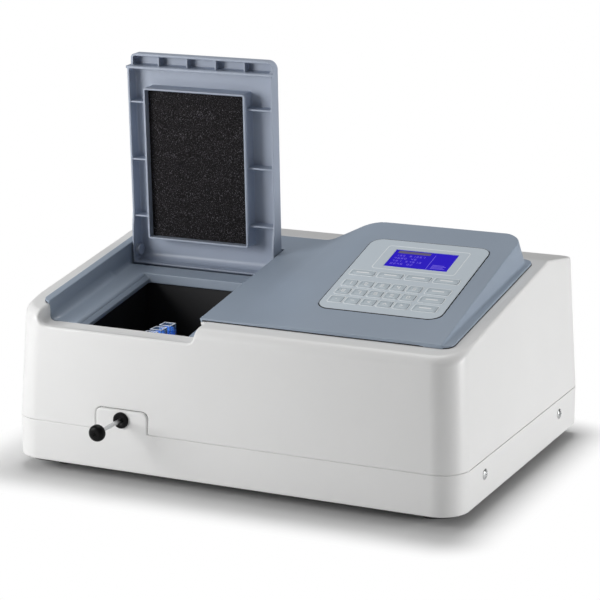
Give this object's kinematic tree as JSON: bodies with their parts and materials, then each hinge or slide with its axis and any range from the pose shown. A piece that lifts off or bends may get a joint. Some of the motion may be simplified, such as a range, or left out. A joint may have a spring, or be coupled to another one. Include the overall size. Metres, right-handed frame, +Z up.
{
  "type": "spectrophotometer",
  "caption": "Bench-top visible spectrophotometer: sloped white casing, hinged lid over a cuvette carriage with a pull rod, keypad console with a display.",
  "frame": {"origin": "on the table under the middle of the outline, pull-rod knob included", "axes": "+Z up, -Y out of the front where the knob is, +X to the right as seen from the front"},
  "size_m": [0.464, 0.398, 0.3807],
  "materials": {
    "white_plastic": "satin moulded",
    "grey_plastic": "fine texture",
    "lid_plastic": "fine texture",
    "overlay": "printed film, satin",
    "key_plastic": "satin",
    "screen": "lit blue display",
    "black_steel": "powder coat",
    "black_paint": "matt black",
    "sheet_metal": "zinc plated",
    "cast_metal": "as cast",
    "steel": "ground",
    "chrome": "bright plated",
    "brass": "machined",
    "mirror": "front silvered",
    "rubber": "moulded",
    "black_plastic": "moulded",
    "knob_plastic": "moulded",
    "foam": "open-cell foam",
    "circuit_board": "solder mask",
    "lamp_glass": "clear quartz",
    "cell_glass": "polished",
    "liquid": "clear blue liquid"
  },
  "bodies": {
    "housing": {"base_plate": "black_steel", "rubber_feet": "rubber", "lower_casing": "white_plastic", "upper_casing": "white_plastic", "casing_screws": "chrome", "rear_panel": "sheet_metal", "top_cover": "grey_plastic", "keypad_panel": "overlay", "lcd_display": "screen", "keypad_board": "circuit_board", "sample_chamber": "black_paint", "guide_rails": "steel", "rod_bushing": "black_plastic", "detector_unit": "sheet_metal", "monochromator_housing": "cast_metal", "monochromator_cover": "black_steel", "mirrors": "mirror", "stepper_motor": "black_steel", "lamp_housing": "sheet_metal", "halogen_lamp": "lamp_glass", "main_board": "circuit_board", "power_supply": "sheet_metal", "power_inlet": "black_plastic", "fan_frame": "black_plastic"},
    "lid": {"lid": "lid_plastic", "lid_foam": "foam", "hinge_pins": "steel"},
    "carriage": {"cuvette_carriage": "black_paint", "cuvettes": "cell_glass", "sample_liquid": "liquid", "pull_rod": "steel", "rod_knob": "knob_plastic"},
    "power_switch": {"power_switch": "black_plastic"},
    "fan_rotor": {"fan_rotor": "black_plastic"},
    "grating_turntable": {"grating_turntable": "black_paint", "grating": "mirror"},
    "drive_nut": {"drive_nut": "brass"},
    "lead_screw": {"lead_screw": "steel"},
    "soft_key_1": {"soft_key_1": "key_plastic"},
    "soft_key_2": {"soft_key_2": "key_plastic"},
    "soft_key_3": {"soft_key_3": "key_plastic"},
    "soft_key_4": {"soft_key_4": "key_plastic"},
    "square_key_1": {"square_key_1": "key_plastic"},
    "square_key_2": {"square_key_2": "key_plastic"},
    "square_key_3": {"square_key_3": "key_plastic"},
    "square_key_4": {"square_key_4": "key_plastic"},
    "square_key_5": {"square_key_5": "key_plastic"},
    "square_key_6": {"square_key_6": "key_plastic"},
    "square_key_7": {"square_key_7": "key_plastic"},
    "square_key_8": {"square_key_8": "key_plastic"},
    "square_key_9": {"square_key_9": "key_plastic"},
    "square_key_10": {"square_key_10": "key_plastic"},
    "square_key_11": {"square_key_11": "key_plastic"},
    "square_key_12": {"square_key_12": "key_plastic"},
    "square_key_13": {"square_key_13": "key_plastic"},
    "square_key_14": {"square_key_14": "key_plastic"},
    "square_key_15": {"square_key_15": "key_plastic"},
    "wide_key_1": {"wide_key_1": "key_plastic"},
    "wide_key_2": {"wide_key_2": "key_plastic"},
    "wide_key_3": {"wide_key_3": "key_plastic"}
  },
  "joints": [
    {"name": "lid_hinge", "type": "hinge", "parent": "housing", "child": "lid", "pos_m": [0, 0.05815, 0.17899], "axis": [1, 0, 0], "range_deg": [-5, 96.3]},
    {"name": "carriage_slide", "type": "slide", "parent": "housing", "child": "carriage", "axis": [0, -1, 0], "range_m": [-0.036, 0.018]},
    {"name": "power_rocker", "type": "hinge", "parent": "housing", "child": "power_switch", "pos_m": [0.169, 0.183, 0.04], "axis": [1, 0, 0], "range_deg": [0, 16]},
    {"name": "fan_spin", "type": "hinge", "parent": "housing", "child": "fan_rotor", "pos_m": [0.06, 0.1875, 0.066], "axis": [0, 1, 0], "continuous": true},
    {"name": "nut_travel", "type": "slide", "parent": "housing", "child": "drive_nut", "axis": [1, 0, 0], "range_m": [-0.008, 0.008]},
    {"name": "grating_turn", "type": "hinge", "parent": "housing", "child": "grating_turntable", "pos_m": [0.0146, -0.034, 0.104], "axis": [0, 0, 1], "range_deg": [-9.6, 9.6]},
    {"name": "screw_spin", "type": "hinge", "parent": "housing", "child": "lead_screw", "pos_m": [0.0146, 0.014, 0.08], "axis": [1, 0, 0], "range_deg": [-721, 721]},
    {"name": "soft_key_1_press", "type": "slide", "parent": "housing", "child": "soft_key_1", "axis": [0, 0.2571, -0.9664], "range_m": [0, 0.0005], "stiffness_N_per_m": 600},
    {"name": "soft_key_2_press", "type": "slide", "parent": "housing", "child": "soft_key_2", "axis": [0, 0.2571, -0.9664], "range_m": [0, 0.0005], "stiffness_N_per_m": 600},
    {"name": "soft_key_3_press", "type": "slide", "parent": "housing", "child": "soft_key_3", "axis": [0, 0.2571, -0.9664], "range_m": [0, 0.0005], "stiffness_N_per_m": 600},
    {"name": "soft_key_4_press", "type": "slide", "parent": "housing", "child": "soft_key_4", "axis": [0, 0.2571, -0.9664], "range_m": [0, 0.0005], "stiffness_N_per_m": 600},
    {"name": "square_key_1_press", "type": "slide", "parent": "housing", "child": "square_key_1", "axis": [0, 0.2571, -0.9664], "range_m": [0, 0.0005], "stiffness_N_per_m": 600},
    {"name": "square_key_2_press", "type": "slide", "parent": "housing", "child": "square_key_2", "axis": [0, 0.2571, -0.9664], "range_m": [0, 0.0005], "stiffness_N_per_m": 600},
    {"name": "square_key_3_press", "type": "slide", "parent": "housing", "child": "square_key_3", "axis": [0, 0.2571, -0.9664], "range_m": [0, 0.0005], "stiffness_N_per_m": 600},
    {"name": "square_key_4_press", "type": "slide", "parent": "housing", "child": "square_key_4", "axis": [0, 0.2571, -0.9664], "range_m": [0, 0.0005], "stiffness_N_per_m": 600},
    {"name": "square_key_5_press", "type": "slide", "parent": "housing", "child": "square_key_5", "axis": [0, 0.2571, -0.9664], "range_m": [0, 0.0005], "stiffness_N_per_m": 600},
    {"name": "square_key_6_press", "type": "slide", "parent": "housing", "child": "square_key_6", "axis": [0, 0.2571, -0.9664], "range_m": [0, 0.0005], "stiffness_N_per_m": 600},
    {"name": "square_key_7_press", "type": "slide", "parent": "housing", "child": "square_key_7", "axis": [0, 0.2571, -0.9664], "range_m": [0, 0.0005], "stiffness_N_per_m": 600},
    {"name": "square_key_8_press", "type": "slide", "parent": "housing", "child": "square_key_8", "axis": [0, 0.2571, -0.9664], "range_m": [0, 0.0005], "stiffness_N_per_m": 600},
    {"name": "square_key_9_press", "type": "slide", "parent": "housing", "child": "square_key_9", "axis": [0, 0.2571, -0.9664], "range_m": [0, 0.0005], "stiffness_N_per_m": 600},
    {"name": "square_key_10_press", "type": "slide", "parent": "housing", "child": "square_key_10", "axis": [0, 0.2571, -0.9664], "range_m": [0, 0.0005], "stiffness_N_per_m": 600},
    {"name": "square_key_11_press", "type": "slide", "parent": "housing", "child": "square_key_11", "axis": [0, 0.2571, -0.9664], "range_m": [0, 0.0005], "stiffness_N_per_m": 600},
    {"name": "square_key_12_press", "type": "slide", "parent": "housing", "child": "square_key_12", "axis": [0, 0.2571, -0.9664], "range_m": [0, 0.0005], "stiffness_N_per_m": 600},
    {"name": "square_key_13_press", "type": "slide", "parent": "housing", "child": "square_key_13", "axis": [0, 0.2571, -0.9664], "range_m": [0, 0.0005], "stiffness_N_per_m": 600},
    {"name": "square_key_14_press", "type": "slide", "parent": "housing", "child": "square_key_14", "axis": [0, 0.2571, -0.9664], "range_m": [0, 0.0005], "stiffness_N_per_m": 600},
    {"name": "square_key_15_press", "type": "slide", "parent": "housing", "child": "square_key_15", "axis": [0, 0.2571, -0.9664], "range_m": [0, 0.0005], "stiffness_N_per_m": 600},
    {"name": "wide_key_1_press", "type": "slide", "parent": "housing", "child": "wide_key_1", "axis": [0, 0.2571, -0.9664], "range_m": [0, 0.0005], "stiffness_N_per_m": 600},
    {"name": "wide_key_2_press", "type": "slide", "parent": "housing", "child": "wide_key_2", "axis": [0, 0.2571, -0.9664], "range_m": [0, 0.0005], "stiffness_N_per_m": 600},
    {"name": "wide_key_3_press", "type": "slide", "parent": "housing", "child": "wide_key_3", "axis": [0, 0.2571, -0.9664], "range_m": [0, 0.0005], "stiffness_N_per_m": 600}
  ],
  "couplings": [
    {"joint": "grating_turn", "follows": "nut_travel", "rad_per_m": -20.833},
    {"joint": "screw_spin", "follows": "nut_travel", "rad_per_m": 1570.8}
  ]
}
